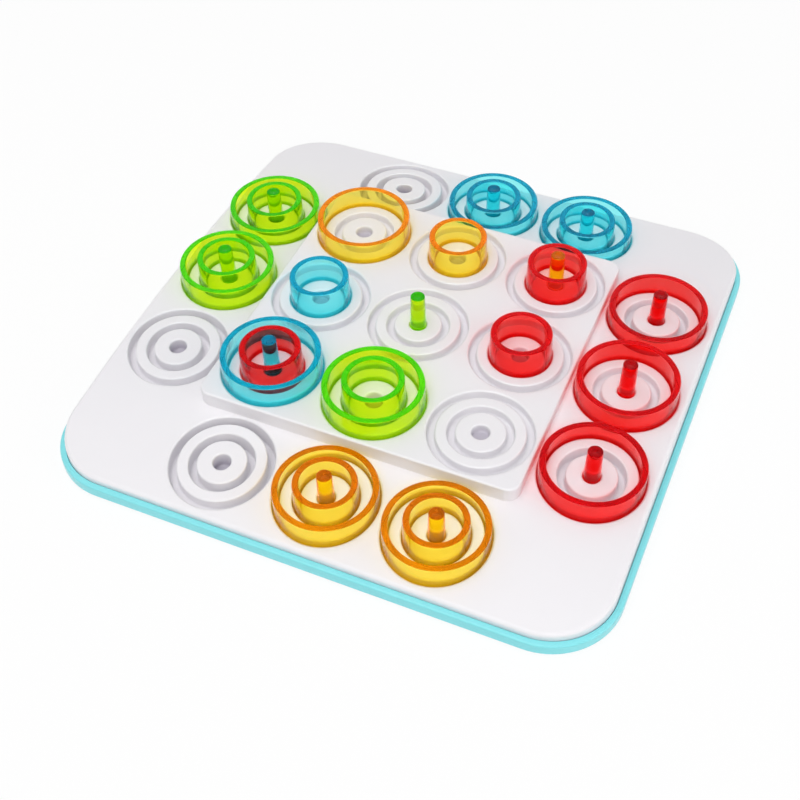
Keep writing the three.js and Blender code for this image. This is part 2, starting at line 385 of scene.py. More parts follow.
@dataclass(frozen=True)
class SeatSection:
    """Section of a seat from the deck round it to the floor of its peg hole."""

    sizes: BoardSizes
    mouth_edge: float = 0.8
    land_edge: float = 0.7
    fillet: float = 1.0
    facets: int = 3

    @property
    def mouth(self) -> float:
        """Radius of the hole that the seat leaves in the deck."""
        return self.sizes.large.seat_radius + self.mouth_edge + FLAT

    def rim_down(self, radius: float, edge: float) -> list[SectionCorner]:
        """Rounds the edge from the deck down to a wall that the deck lies outside of.

        Args:
            radius: Radius of the wall.
            edge: Radius of the rounding.

        Returns:
            The corners, from the deck inwards.
        """
        turn = [
            SectionCorner(radius + edge * (1 - math.sin(a)), Anchor.DECK, edge * (math.cos(a) - 1))
            for a in quarter(self.facets)
        ]
        return [SectionCorner(radius + edge + FLAT, Anchor.DECK, 0.0), *turn]

    def rim_up(self, radius: float, edge: float) -> list[SectionCorner]:
        """Rounds the edge from a wall up to the land inside it.

        Args:
            radius: Radius of the wall.
            edge: Radius of the rounding.

        Returns:
            The corners, from the wall inwards.
        """
        turn = [
            SectionCorner(radius + edge * (math.cos(a) - 1), Anchor.DECK, edge * (math.sin(a) - 1))
            for a in quarter(self.facets)
        ]
        return [*turn, SectionCorner(radius - edge - FLAT, Anchor.DECK, 0.0)]

    def floor_in(self, radius: float) -> list[SectionCorner]:
        """Hollows the fillet from an outer wall to the floor.

        Args:
            radius: Radius of the wall.

        Returns:
            The corners, from the wall inwards.
        """
        reach = self.fillet
        return [
            SectionCorner(radius + reach * (math.cos(a) - 1), Anchor.FLOOR, reach * (1 - math.sin(a)))
            for a in quarter(self.facets)
        ]

    def floor_out(self, radius: float) -> list[SectionCorner]:
        """Hollows the fillet from the floor to an inner wall.

        Args:
            radius: Radius of the wall.

        Returns:
            The corners, from the floor inwards.
        """
        reach = self.fillet
        return [
            SectionCorner(radius + reach * (1 - math.sin(a)), Anchor.FLOOR, reach * (1 - math.cos(a)))
            for a in quarter(self.facets)
        ]

    def groove(self, ring: RingSizes, edge: float) -> list[SectionCorner]:
        """Gives the section of the groove for one size of ring.

        Args:
            ring: Sizes of the ring.
            edge: Radius of the groove's outer edge.

        Returns:
            The corners, from the outside inwards.
        """
        outer, inner = ring.seat_radius, ring.groove_inner(self.sizes.deepest_wall)
        down, up = self.rim_down(outer, edge), self.rim_up(inner, self.land_edge)
        return [*down, *self.floor_in(outer), *self.floor_out(inner), *up]

    def corners(self) -> list[SectionCorner]:
        """Gives the whole section.

        Returns:
            The corners, from the deck inwards.
        """
        large = self.groove(self.sizes.large, self.mouth_edge)
        medium = self.groove(self.sizes.medium, self.land_edge)
        hole = self.sizes.peg.seat_radius
        return [*large, *medium, *self.rim_down(hole, self.land_edge), *self.floor_in(hole)]


@dataclass(frozen=True)
class RoundedOutline:
    """Outline of a square with rounded corners, which can be grown outwards evenly."""

    half: float
    corner: float
    slack: float = 1e-4

    def outward(self, point: Vector) -> Vector:
        """Finds the direction that leads straight out of the outline.

        Args:
            point: A point on the outline or on one grown from it.

        Returns:
            A level direction of length 1.
        """
        straight = self.half - self.corner - self.slack
        past = [math.copysign(max(abs(value) - straight, 0.0), value) for value in (point.x, point.y)]
        return Vector((past[0], past[1], 0.0)).normalized()

    def moved(self, point: Vector, out: float, level: float) -> Vector:
        """Moves a point outwards and to a height.

        Args:
            point: A point on the outline or on one grown from it.
            out: How far outwards.
            level: The new height.

        Returns:
            The new place.
        """
        there = point + self.outward(point) * out
        return Vector((there.x, there.y, level))


class Shape:
    """A mesh in the making, with the few moves that the pieces of the game need."""

    merge_distance = 0.0005

    def __init__(self) -> None:
        """Starts an empty mesh."""
        self.mesh = bmesh.new()

    def round_corners(self, corners: Corners, radius: float, facets: int) -> set[bmesh.types.BMVert]:
        """Rounds the corners of a flat face.

        Args:
            corners: The corners.
            radius: Radius of the rounding.
            facets: Facets of each corner.

        Returns:
            The new corners.
        """
        rounded = bmesh.ops.bevel(
            self.mesh,
            geom=corners,
            offset=radius,
            offset_type="OFFSET",
            affect="VERTICES",
            segments=facets,
            profile=0.5,
            material=-1,
        )
        return set(rounded["verts"])

    def rounded_square(self, half: float, corner: float, facets: int) -> Edges:
        """Draws a square with rounded corners at height 0.

        Args:
            half: Half the width.
            corner: Radius of the corners.
            facets: Facets of each corner.

        Returns:
            The edges of the outline.
        """
        made = bmesh.ops.create_grid(self.mesh, x_segments=1, y_segments=1, size=half)
        corners = self.round_corners(made["verts"], corner, facets)
        sheet = [face for face in self.mesh.faces if corners.issuperset(face.verts)]
        outline = [edge for face in sheet for edge in face.edges]
        bmesh.ops.delete(self.mesh, geom=sheet, context="FACES_ONLY")
        return outline

    def circle(self, radius: float, centre: Vector, facets: int) -> Edges:
        """Draws a circle.

        Args:
            radius: Radius of the circle.
            centre: Its middle.
            facets: Number of its edges.

        Returns:
            The edges of the circle.
        """
        made = bmesh.ops.create_circle(
            self.mesh, cap_ends=False, segments=facets, radius=radius, matrix=Matrix.Translation(centre)
        )
        return list({edge for corner in made["verts"] for edge in corner.link_edges})

    def fill(self, edges: Edges) -> None:
        """Fills the room between outlines with a flat sheet.

        Args:
            edges: The outline and the holes in it.
        """
        bmesh.ops.triangle_fill(self.mesh, use_beauty=True, use_dissolve=False, edges=edges, normal=(0, 0, 1))

    def slice_rows(self, reach: float, step: float) -> None:
        """Cuts all faces along lines from side to side, so that a sheet can be bent.

        Args:
            reach: How far the lines go to the front and to the back.
            step: Distance between the lines.
        """
        count = int(reach / step)
        for row in range(-count, count + 1):
            geometry = [*self.mesh.verts, *self.mesh.edges, *self.mesh.faces]
            bmesh.ops.bisect_plane(
                self.mesh, geom=geometry, dist=PLAY, plane_co=(0, row * step, 0), plane_no=(0, 1, 0)
            )

    def open_edges(self, inside: Callable[[Vector], bool]) -> Edges:
        """Finds the open edges of the mesh in a place.

        Args:
            inside: Says whether a point is in that place.

        Returns:
            The open edges whose two ends are there.
        """
        return [e for e in self.mesh.edges if e.is_boundary and all(inside(v.co) for v in e.verts)]

    def grow(self, edges: Edges, place: Placing) -> Edges:
        """Extrudes a loop of edges by one row of faces.

        Args:
            edges: The open loop.
            place: Gives the new place of a corner from its old one.

        Returns:
            The new open loop.
        """
        made = bmesh.ops.extrude_edge_only(self.mesh, edges=edges)["geom"]
        corners = {part for part in made if isinstance(part, bmesh.types.BMVert)}
        for corner in corners:
            corner.co = place(corner.co)
        rows = [part for part in made if isinstance(part, bmesh.types.BMEdge)]
        return [edge for edge in rows if corners.issuperset(edge.verts)]

    def sweep(self, edges: Edges, outline: RoundedOutline, steps: list[Step], base: Level) -> Edges:
        """Extrudes a loop of edges by several rows of faces.

        Args:
            edges: The open loop, on an outline or on one grown from it.
            outline: The outline.
            steps: Where each row ends.
            base: Gives the height that the steps rise from, at a corner of the row before.

        Returns:
            The new open loop.
        """
        reached = 0.0
        for step in steps:
            out, reached = step.out - reached, step.out
            edges = self.grow(edges, lambda p, o=out, r=step.rise: outline.moved(p, o, base(p) + r))
        return edges

    def cap(self, edges: Edges) -> None:
        """Closes flat loops of edges with one face each.

        Args:
            edges: The open loops.
        """
        bmesh.ops.holes_fill(self.mesh, edges=edges, sides=0)

    def spin(self, edges: Edges, facets: int) -> None:
        """Turns a section about the Z axis into a round solid.

        Args:
            edges: The section, in the XZ plane.
            facets: Number of facets round the axis.
        """
        corners = {vertex for edge in edges for vertex in edge.verts}
        bmesh.ops.spin(
            self.mesh,
            geom=[*corners, *edges],
            cent=(0, 0, 0),
            axis=(0, 0, 1),
            dvec=(0, 0, 0),
            angle=2 * math.pi,
            steps=facets,
            use_merge=True,
            use_normal_flip=False,
            use_duplicate=False,
        )

    def mark_rim_light(self, level: float) -> None:
        """Marks the corners above a height as the rim, where the clear finish paints light.

        Args:
            level: The height.
        """
        layer = self.mesh.verts.layers.float.new(RIM_LIGHT_MASK)
        for vertex in self.mesh.verts:
            vertex[layer] = float(vertex.co.z > level)

    def finish(self, name: str, place: Vector) -> bpy.types.Object:
        """Cleans the mesh and turns it into an object at the origin, in metres.

        Args:
            name: Name of the object.
            place: Where the shape's own origin goes, in millimetres.

        Returns:
            The new object, in the scene.
        """
        mesh = self.mesh
        bmesh.ops.remove_doubles(mesh, verts=mesh.verts[:], dist=self.merge_distance)
        bmesh.ops.recalc_face_normals(mesh, faces=mesh.faces[:])
        bmesh.ops.translate(mesh, verts=mesh.verts[:], vec=place)
        bmesh.ops.scale(mesh, verts=mesh.verts[:], vec=(MILLIMETRE, MILLIMETRE, MILLIMETRE))
        for face in mesh.faces:
            face.smooth = True
        open_edges = sum(not edge.is_manifold for edge in mesh.edges)
        if open_edges:
            LOG.warning("%s: %d open edges", name, open_edges)
        data = bpy.data.meshes.new(name)
        mesh.to_mesh(data)
        mesh.free()
        piece = bpy.data.objects.new(name, data)
        bpy.context.scene.collection.objects.link(piece)
        return piece


@dataclass
class Moulding:
    """What the moulded pieces share: their CAD node, body and slot, and the mesh in the making."""

    node: str
    body: str
    slot: str
    shape: Shape = field(default_factory=Shape, init=False)
    suffix: ClassVar[str] = "shell"
    flat_weight: ClassVar[int] = 50

    @property
    def name(self) -> str:
        """Name of the piece in the scene."""
        return f"{self.node}_{self.suffix}"

    def dress(self, piece: bpy.types.Object, material: bpy.types.Material) -> None:
        """Gives the built piece its material and ties it to the CAD model.

        Args:
            piece: The built piece.
            material: Its finish.
        """
        piece.data.materials.append(material)
        keep_flat = piece.modifiers.new("keep_flat", "WEIGHTED_NORMAL")
        keep_flat.mode = "FACE_AREA"
        keep_flat.weight = self.flat_weight
        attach(piece, self.body)
        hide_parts(self.node)


@dataclass
class BoardTop(Moulding):
    """The white top: a crowned deck with a raised square and twenty-one seats."""

    sizes: BoardSizes
    seat_facets: int = 80
    corner_facets: int = 20
    edge_facets: int = 6
    plateau_corner_facets: int = 8
    plateau_edge_facets: int = 5
    plateau_foot_facets: int = 3
    row_step: float = 6.0
    mouth_play: float = 0.04
    # Share of the painted shade that the grooves get, against the full painted shade in the peg hole.
    groove_shade_share: float = 0.15

    @property
    def section(self) -> SeatSection:
        """Section of the seats."""
        return SeatSection(self.sizes)

    def build(self) -> bpy.types.Object:
        """Builds the whole top.

        Returns:
            The finished object.
        """
        self.lay_deck()
        self.raise_plateau()
        self.turn_edge()
        self.sink_seats()
        self.mark_painted_shade()
        return self.shape.finish(self.name, Vector((0, 0, 0)))

    def on_deck(self, point: Vector) -> float:
        """Height of the deck at a point."""
        return self.sizes.deck_level(point.y)

    def on_plateau(self, point: Vector) -> float:
        """Height of the raised square, which is the same at every point."""
        return self.sizes.plateau_top

    def mouths(self, outer: bool, level: float) -> Edges:
        """Draws the mouths of the seats on the deck or on the raised square.

        Args:
            outer: Whether the seats are those outside the raised square.
            level: Height of the sheet that they are in.

        Returns:
            The edges of all mouths.
        """
        edges = []
        for seat in Seat.every():
            if seat.outer == outer:
                centre = seat.centre(self.sizes) + Vector((0, 0, level))
                edges += self.shape.circle(self.section.mouth, centre, self.seat_facets)
        return edges

    def lay_deck(self) -> None:
        """Lays the deck with its holes as a flat sheet, and bends it to its crown."""
        sizes, shape = self.sizes, self.shape
        inset = sizes.top_edge + FLAT
        edges = shape.rounded_square(sizes.top_half - inset, sizes.top_corner - inset, self.corner_facets)
        foot = sizes.plateau_foot + FLAT
        edges += shape.rounded_square(
            sizes.plateau_half + foot, sizes.plateau_corner + foot, self.plateau_corner_facets
        )
        edges += self.mouths(outer=True, level=0.0)
        shape.fill(edges)
        shape.slice_rows(sizes.top_half, self.row_step)
        for vertex in shape.mesh.verts:
            vertex.co.z = self.on_deck(vertex.co)

    def raise_plateau(self) -> None:
        """Raises the square in the middle from the deck, and lays its top with its holes."""
        sizes, shape = self.sizes, self.shape
        outline = RoundedOutline(sizes.plateau_half, sizes.plateau_corner)
        reach = sizes.plateau_half + sizes.plateau_foot + FLAT + PLAY
        foot = from_level(-sizes.plateau_foot, sizes.plateau_foot, self.plateau_foot_facets)
        edge = to_level(sizes.plateau_edge, self.plateau_edge_facets)
        strip = [Step(-FLAT, 0.0)]

        def on_foot(point: Vector) -> bool:
            """Tells whether a point is at the foot of the raised square."""
            return max(abs(point.x), abs(point.y)) < reach

        loop = shape.open_edges(on_foot)
        for steps, base in ((strip, self.on_deck), (foot, self.on_deck), (edge, self.on_plateau)):
            loop = shape.sweep(loop, outline, steps, base)
        loop = shape.sweep(loop, outline, strip, self.on_plateau)
        shape.fill([*loop, *self.mouths(outer=False, level=sizes.plateau_top)])

    def turn_edge(self) -> None:
        """Rounds the outer edge, and brings the skirt down, round and back under the deck."""
        sizes, shape = self.sizes, self.shape
        outline = RoundedOutline(sizes.top_half, sizes.top_corner)
        near = sizes.top_half - sizes.top_edge - FLAT - PLAY
        bend = sizes.top_half - sizes.top_corner

        def on_edge(point: Vector) -> bool:
            """Tells whether a point is at the outer edge of the deck."""
            short, long = sorted((abs(point.x), abs(point.y)))
            return long > near or short > bend

        loop = shape.open_edges(on_edge)
        loop = shape.sweep(loop, outline, [Step(FLAT, 0.0)], self.on_deck)
        edge = from_level(sizes.top_edge, -sizes.top_edge, self.edge_facets)
        loop = shape.sweep(loop, outline, edge, self.on_deck)
        foot = sizes.tray_floor + sizes.skirt_gap
        ceiling = sizes.tray_floor + sizes.ceiling_gap
        for out, level in (
            (0.0, foot + sizes.skirt_edge),
            (-sizes.skirt_edge, foot),
            (sizes.skirt_edge - sizes.skirt, foot),
            (0.0, ceiling),
        ):
            loop = shape.grow(loop, lambda p, o=out, z=level: outline.moved(p, o, z))
        shape.cap(loop)

    def seat_at(self, point: Vector) -> Seat:
        """Finds the seat that a point belongs to, which has the nearest middle."""
        return Seat(round(point.x / self.sizes.pitch), round(point.y / self.sizes.pitch))

    def sunk(self, point: Vector, corner: SectionCorner) -> Vector:
        """Moves a point of a seat to a corner of the seat's section.

        Args:
            point: A point inside the seat or on its mouth.
            corner: The corner.

        Returns:
            The new place.
        """
        seat = self.seat_at(point)
        there = on_circle(point, seat.centre(self.sizes), corner.radius, 0.0)
        on_floor = corner.anchor is Anchor.FLOOR
        base = seat.floor(self.sizes) if on_floor else seat.surface(self.sizes, there.y)
        return Vector((there.x, there.y, base + corner.rise))

    def sink_seats(self) -> None:
        """Sinks the grooves and the hole of every seat into the sheet."""
        sizes, shape, mouth = self.sizes, self.shape, self.section.mouth

        def on_mouth(point: Vector) -> bool:
            """Tells whether a point is on the mouth of a seat."""
            away = point.xy - self.seat_at(point).centre(sizes).xy
            return abs(away.length - mouth) < self.mouth_play

        loops = shape.open_edges(on_mouth)
        for corner in self.section.corners()[1:]:
            loops = shape.grow(loops, lambda p, c=corner: self.sunk(p, c))
        shape.cap(loops)

    def mark_painted_shade(self) -> None:
        """Marks where shade is painted in the seats: how deep each corner lies, up to 1 in the hole and less
        in the grooves.
        """
        sizes, mesh, mouth = self.sizes, self.shape.mesh, self.section.mouth
        seats = set(Seat.every())
        hole = sizes.peg.seat_radius + FLAT
        layer = mesh.verts.layers.float.new(RECESS_SHADE_MASK)
        for vertex in mesh.verts:
            seat = self.seat_at(vertex.co)
            away = (vertex.co.xy - seat.centre(sizes).xy).length
            if seat in seats and away < mouth:
                depth = min((seat.surface(sizes, vertex.co.y) - vertex.co.z) / sizes.seat_depth, 1.0)
                vertex[layer] = depth**2 * (1.0 if away < hole else self.groove_shade_share)


@dataclass
class BaseTray(Moulding):
    """The turquoise tray, with pockets for the screws in its underside and cups over them."""

    sizes: BoardSizes
    pocket_radius: float = 3.3
    pocket_depth: float = 2.4
    pilot_radius: float = 1.6
    cup_radius: float = 5.1
    cup_top: float = 4.2
    corner_facets: int = 20
    edge_facets: int = 5
    lip_facets: int = 3
    pocket_facets: int = 32
    screw_rows: tuple[float, ...] = (2.0, 0.5)

    def places(self) -> list[Vector]:
        """Gives the middles of the screw pockets.

        Returns:
            Points at height 0.
        """
        steps = [self.sizes.pitch * row for row in self.screw_rows]
        return [Vector((x * step, y * step, 0)) for step in steps for x in (-1, 1) for y in (-1, 1)]

    def circles(self, radius: float, level: float) -> list[Edges]:
        """Draws a circle round the middle of every screw pocket.

        Args:
            radius: Radius of the circles.
            level: Their height.

        Returns:
            The edges of each circle.
        """
        lift = Vector((0, 0, level))
        return [self.shape.circle(radius, place + lift, self.pocket_facets) for place in self.places()]

    def build(self) -> bpy.types.Object:
        """Builds the whole tray.

        Returns:
            The finished object.
        """
        sizes, shape, edge, lip = self.sizes, self.shape, self.sizes.tray_edge, self.sizes.tray_lip
        outline = RoundedOutline(sizes.tray_half, sizes.tray_corner)
        across = sizes.tray_ledge + sizes.tray_gap - sizes.moat - edge - lip
        loop = shape.rounded_square(sizes.tray_half - edge, sizes.tray_corner - edge, self.corner_facets)
        mouths = self.circles(self.pocket_radius, 0.0)
        shape.fill([*loop, *(part for mouth in mouths for part in mouth)])
        for steps, level in (
            (from_level(edge, edge, self.edge_facets), 0.0),
            (to_level(edge, self.edge_facets), sizes.ledge_top),
            ([Step(-across, 0.0)], sizes.ledge_top),
            (from_level(-lip, -lip, self.lip_facets), sizes.ledge_top),
            ([Step(0.0, 0.0)], sizes.tray_floor),
        ):
            loop = shape.sweep(loop, outline, steps, lambda p, z=level: z)
        cups = self.circles(self.cup_radius, sizes.tray_floor)
        shape.fill([*loop, *(part for cup in cups for part in cup)])
        for place, mouth, cup in zip(self.places(), mouths, cups):
            self.line_pocket(place, mouth, cup)
        return shape.finish(self.name, Vector((0, 0, 0)))

    def line_pocket(self, place: Vector, mouth: Edges, cup: Edges) -> None:
        """Makes the pocket of one screw from below and the cup over it from above.

        Args:
            place: Middle of the pocket.
            mouth: Its edge in the underside.
            cup: The foot of the cup, on the tray's floor.
        """
        pilot = (self.pilot_radius, self.cup_top)
        below = ((self.pocket_radius, self.pocket_depth), (self.pilot_radius, self.pocket_depth), pilot)
        above = ((self.cup_radius, self.cup_top), pilot)
        for loop, rows in ((mouth, below), (cup, above)):
            for radius, level in rows:
                loop = self.shape.grow(loop, lambda p, r=radius, z=level: on_circle(p, place, r, z))


@dataclass
class Ring(Moulding):
    """A clear ring with rounded edges, a little wider at its foot."""

    sizes: RingSizes
    facets: int = 192
    edge_facets: int = 4
    # Share of the edge below the top from which the rim gets painted light.
    rim_light_share: float = 0.5
    suffix: ClassVar[str] = "clear"

    def build(self, place: Vector) -> bpy.types.Object:
        """Builds the ring.

        Args:
            place: Middle of its foot.

        Returns:
            The finished object.
        """
        sizes, shape, mesh = self.sizes, self.shape, self.shape.mesh
        foot, top, height, wall = sizes.foot_radius, sizes.top_radius, sizes.height, sizes.wall
        outline = [(foot, 0.0), (top, height), (top - wall, height), (foot - wall, 0.0)]
        corners = [mesh.verts.new((radius, 0, level)) for radius, level in outline]
        mesh.faces.new(corners)
        shape.round_corners(corners, sizes.edge, self.edge_facets)
        bmesh.ops.delete(mesh, geom=mesh.faces[:], context="FACES_ONLY")
        shape.spin(mesh.edges[:], self.facets)
        shape.mark_rim_light(height - sizes.edge * self.rim_light_share)
        return shape.finish(self.name, place)


@dataclass
class Peg(Moulding):
    """A clear peg with a rounded edge and a shallow dimple in its top."""

    sizes: PegSizes
    facets: int = 64
    edge_facets: int = 4
    # Share of the edge below the top from which the rim gets painted light.
    rim_light_share: float = 0.8
    suffix: ClassVar[str] = "clear"

    def build(self, place: Vector) -> bpy.types.Object:
        """Builds the peg.

        Args:
            place: Middle of its foot.

        Returns:
            The finished object.
        """
        sizes, shape, mesh = self.sizes, self.shape, self.shape.mesh
        foot, top, height, edge = sizes.foot_radius, sizes.top_radius, sizes.height, sizes.edge
        turn = quarter(self.edge_facets)
        lower = [(foot - edge * (1 - math.sin(a)), edge * (1 - math.cos(a))) for a in turn]
        upper = [(top - edge * (1 - math.cos(a)), height - edge * (1 - math.sin(a))) for a in turn]
        hollow = [
            (top * sizes.dimple_mouth, height),
            (top * sizes.dimple_bend, height - sizes.dimple * sizes.dimple_bend_depth),
            (0, height - sizes.dimple),
        ]
        corners = [mesh.verts.new((radius, 0, level)) for radius, level in [(0, 0), *lower, *upper, *hollow]]
        section = [mesh.edges.new(pair) for pair in zip(corners, corners[1:])]
        shape.spin(section, self.facets)
        shape.mark_rim_light(height - edge * self.rim_light_share)
        return shape.finish(self.name, place)


class Nodes:
    """A node tree with short ways to add and join its nodes."""

    def __init__(self, tree: bpy.types.NodeTree) -> None:
        """Empties the tree.

        Args:
            tree: The tree of a material, a world or a group.
        """
        self.tree = tree
        tree.nodes.clear()

    def add(
        self,
        kind: str,
        place: tuple[float, float],
        values: dict[str | int, object] | None = None,
        **settings: object,
    ) -> bpy.types.Node:
        """Adds a node.

        Args:
            kind: Blender's name of the node type.
            place: Where it stands in the editor.
            values: Constants of its inputs, by name or number.
            **settings: Properties of the node.

        Returns:
            The new node.
        """
        node = self.tree.nodes.new(kind)
        node.location = place
        for key, value in settings.items():
            setattr(node, key, value)
        for key, value in (values or {}).items():
            node.inputs[key].default_value = value
        return node

    def link(self, start: bpy.types.NodeSocket, end: bpy.types.NodeSocket) -> None:
        """Joins an output to an input.

        Args:
            start: The output.
            end: The input.
        """
        self.tree.links.new(start, end)


def new_material(name: str) -> tuple[bpy.types.Material, Nodes]:
    """Makes a material with an empty node tree.

    Args:
        name: Name of the material.

    Returns:
        The material and its tree.
    """
    material = bpy.data.materials.new(name)
    material.use_nodes = True
    return material, Nodes(material.node_tree)


@dataclass(frozen=True)
class MouldGrain:
    """Shared surface of moulded plastic: a cloudy tone and a fine skin from the mould."""

    name: str = "mould_grain"
    cloud_detail: float = 3.0
    grain_detail: float = 2.0
    bump_distance: float = 0.0002

    def group(self) -> bpy.types.NodeTree:
        """Gives the node group, and makes it at its first use.

        Returns:
            A group with inputs Cloud Scale, Grain Scale and Depth, and outputs Tone, Gloss and Normal.
        """
        known = bpy.data.node_groups.get(self.name)
        if known is not None:
            return known
        tree = bpy.data.node_groups.new(self.name, "ShaderNodeTree")
        for label, value in (("Cloud Scale", 20.0), ("Grain Scale", 900.0), ("Depth", 0.1)):
            socket = tree.interface.new_socket(label, in_out="INPUT", socket_type="NodeSocketFloat")
            socket.default_value = value
        for label, kind in (("Tone", "Float"), ("Gloss", "Float"), ("Normal", "Vector")):
            tree.interface.new_socket(label, in_out="OUTPUT", socket_type=f"NodeSocket{kind}")
        nodes = Nodes(tree)
        inputs = nodes.add("NodeGroupInput", (-700, 0))
        outputs = nodes.add("NodeGroupOutput", (500, 0))
        place = nodes.add("ShaderNodeTexCoord", (-700, 300))
        cloud = nodes.add("ShaderNodeTexNoise", (-400, 250), {"Detail": self.cloud_detail})
        grain = nodes.add("ShaderNodeTexNoise", (-400, -50), {"Detail": self.grain_detail})
        bump = nodes.add("ShaderNodeBump", (200, -150), {"Distance": self.bump_distance})
        nodes.link(place.outputs["Object"], cloud.inputs["Vector"])
        nodes.link(place.outputs["Object"], grain.inputs["Vector"])
        nodes.link(inputs.outputs["Cloud Scale"], cloud.inputs["Scale"])
        nodes.link(inputs.outputs["Grain Scale"], grain.inputs["Scale"])
        nodes.link(inputs.outputs["Depth"], bump.inputs["Strength"])
        nodes.link(grain.outputs["Fac"], bump.inputs["Height"])
        nodes.link(cloud.outputs["Fac"], outputs.inputs["Tone"])
        nodes.link(grain.outputs["Fac"], outputs.inputs["Gloss"])
        nodes.link(bump.outputs["Normal"], outputs.inputs["Normal"])
        return tree


@dataclass(frozen=True)
class Skin:
    """How a surface varies: clouds of two colours, a grain, and a gloss that follows the grain."""

    dark: Colour
    light: Colour
    smooth: float
    rough: float
    cloud_scale: float = 25.0
    grain_scale: float = 1400.0
    depth: float = 0.05

    def lay(self, nodes: Nodes, shader: bpy.types.Node) -> bpy.types.NodeSocket:
        """Adds the nodes of the skin, and joins its gloss and its grain to a shader.

        Args:
            nodes: The tree to add them to.
            shader: The shader.

        Returns:
            The output that holds the colour.
        """
        scales = {"Cloud Scale": self.cloud_scale, "Grain Scale": self.grain_scale, "Depth": self.depth}
        grain = nodes.add("ShaderNodeGroup", (-500, 0), scales, node_tree=MouldGrain().group())
        tones = {"A": rgba(self.dark), "B": rgba(self.light)}
        colour = nodes.add("ShaderNodeMix", (0, 150), tones, data_type="RGBA")
        gloss = nodes.add("ShaderNodeMapRange", (0, -150), {"To Min": self.smooth, "To Max": self.rough})
        nodes.link(grain.outputs["Tone"], colour.inputs["Factor"])
        nodes.link(grain.outputs["Gloss"], gloss.inputs["Value"])
        nodes.link(gloss.outputs["Result"], shader.inputs["Roughness"])
        nodes.link(grain.outputs["Normal"], shader.inputs["Normal"])
        return colour.outputs["Result"]


@dataclass(frozen=True)
class MouldedPlastic:
    """An opaque moulded plastic with a satin skin, with painted shade darkening its recesses."""

    name: str
    skin: Skin
    # Colour of the painted shade that darkens the seats' grooves and holes.
    painted_recess_shade: Colour
    ior: float = 1.47

    def build(self) -> bpy.types.Material:
        """Makes the material.

        Returns:
            The new material.
        """
        material, nodes = new_material(self.name)
        output = nodes.add("ShaderNodeOutputMaterial", (700, 0))
        shader = nodes.add("ShaderNodeBsdfPrincipled", (400, 0), {"IOR": self.ior})
        # Painted shade: the base colour darkens towards the recess colour where the seats' mask says a corner
        # lies deep.
        depth = nodes.add("ShaderNodeAttribute", (0, 400), attribute_name=RECESS_SHADE_MASK)
        shade = nodes.add("ShaderNodeMix", (200, 200), {"B": rgba(self.painted_recess_shade)}, data_type="RGBA")
        nodes.link(self.skin.lay(nodes, shader), shade.inputs["A"])
        nodes.link(depth.outputs["Fac"], shade.inputs["Factor"])
        nodes.link(shade.outputs["Result"], shader.inputs["Base Color"])
        nodes.link(shader.outputs["BSDF"], output.inputs["Surface"])
        return material


@dataclass(frozen=True)
class ClearPlastic:
    """A clear coloured plastic, deeper in colour where it is thicker, with painted light that makes its rim
    glow.
    """

    name: str
    depth_colour: Colour
    density: float
    tint: Colour
    cast: Colour
    sheen: Colour
    # Colour of the painted light that makes the rim glow. It stands in for light carried up through the wall.
    painted_rim_light: Colour
    ior: float = 1.4
    smooth: float = 0.02
    rough: float = 0.07
    cloud_scale: float = 60.0
    grain_scale: float = 350.0
    grain_depth: float = 0.02

    def build(self) -> bpy.types.Material:
        """Makes the material.

        Returns:
            The new material.
        """
        material, nodes = new_material(self.name)
        output = nodes.add("ShaderNodeOutputMaterial", (900, 0))
        mix = nodes.add("ShaderNodeMixShader", (650, 100))
        light = nodes.add("ShaderNodeLightPath", (350, 450))
        clear = {"IOR": self.ior, "Transmission Weight": 1.0, "Emission Strength": 1.0}
        clear["Specular Tint"] = rgba(self.sheen)
        shader = nodes.add("ShaderNodeBsdfPrincipled", (350, 100), clear)
        cast = nodes.add("ShaderNodeBsdfTransparent", (350, -450), {"Color": rgba(self.cast)})
        thick = {"Color": rgba(self.depth_colour), "Density": self.density}
        absorb = nodes.add("ShaderNodeVolumeAbsorption", (650, -200), thick)
        skin = Skin(
            dark=self.tint,
            light=PURE_WHITE,
            smooth=self.smooth,
            rough=self.rough,
            cloud_scale=self.cloud_scale,
            grain_scale=self.grain_scale,
            depth=self.grain_depth,
        )
        # Painted light: the rim emits the rim glow colour. It stands in for light that the plastic carries up
        # from below.
        rim_light = nodes.add("ShaderNodeAttribute", (-300, -450), attribute_name=RIM_LIGHT_MASK)
        painted_rim_tones = {"A": rgba(BLACK), "B": rgba(self.painted_rim_light)}
        glow = nodes.add("ShaderNodeMix", (0, -450), painted_rim_tones, data_type="RGBA")
        nodes.link(skin.lay(nodes, shader), shader.inputs["Base Color"])
        nodes.link(rim_light.outputs["Fac"], glow.inputs["Factor"])
        nodes.link(glow.outputs["Result"], shader.inputs["Emission Color"])
        nodes.link(light.outputs["Is Shadow Ray"], mix.inputs["Fac"])
        nodes.link(shader.outputs["BSDF"], mix.inputs[1])
        nodes.link(cast.outputs["BSDF"], mix.inputs[2])
        nodes.link(mix.outputs["Shader"], output.inputs["Surface"])
        nodes.link(absorb.outputs["Volume"], output.inputs["Volume"])
        return material


@dataclass(frozen=True)
class TurnedSteel:
    """Bright steel of the screws, with fine turning marks."""

    name: str = "screw_steel_turned"
    skin: Skin = Skin(
        dark=rgb("9A9DA0"),
        light=rgb("C9CBCC"),
        smooth=0.25,
        rough=0.45,
        cloud_scale=400.0,
        grain_scale=3000.0,
        depth=0.3,
    )

    def build(self) -> bpy.types.Material:
        """Makes the material.

        Returns:
            The new material.
        """
        material, nodes = new_material(self.name)
        output = nodes.add("ShaderNodeOutputMaterial", (700, 0))
        shader = nodes.add("ShaderNodeBsdfPrincipled", (400, 0), {"Metallic": 1.0})
        nodes.link(self.skin.lay(nodes, shader), shader.inputs["Base Color"])
        nodes.link(shader.outputs["BSDF"], output.inputs["Surface"])
        return material
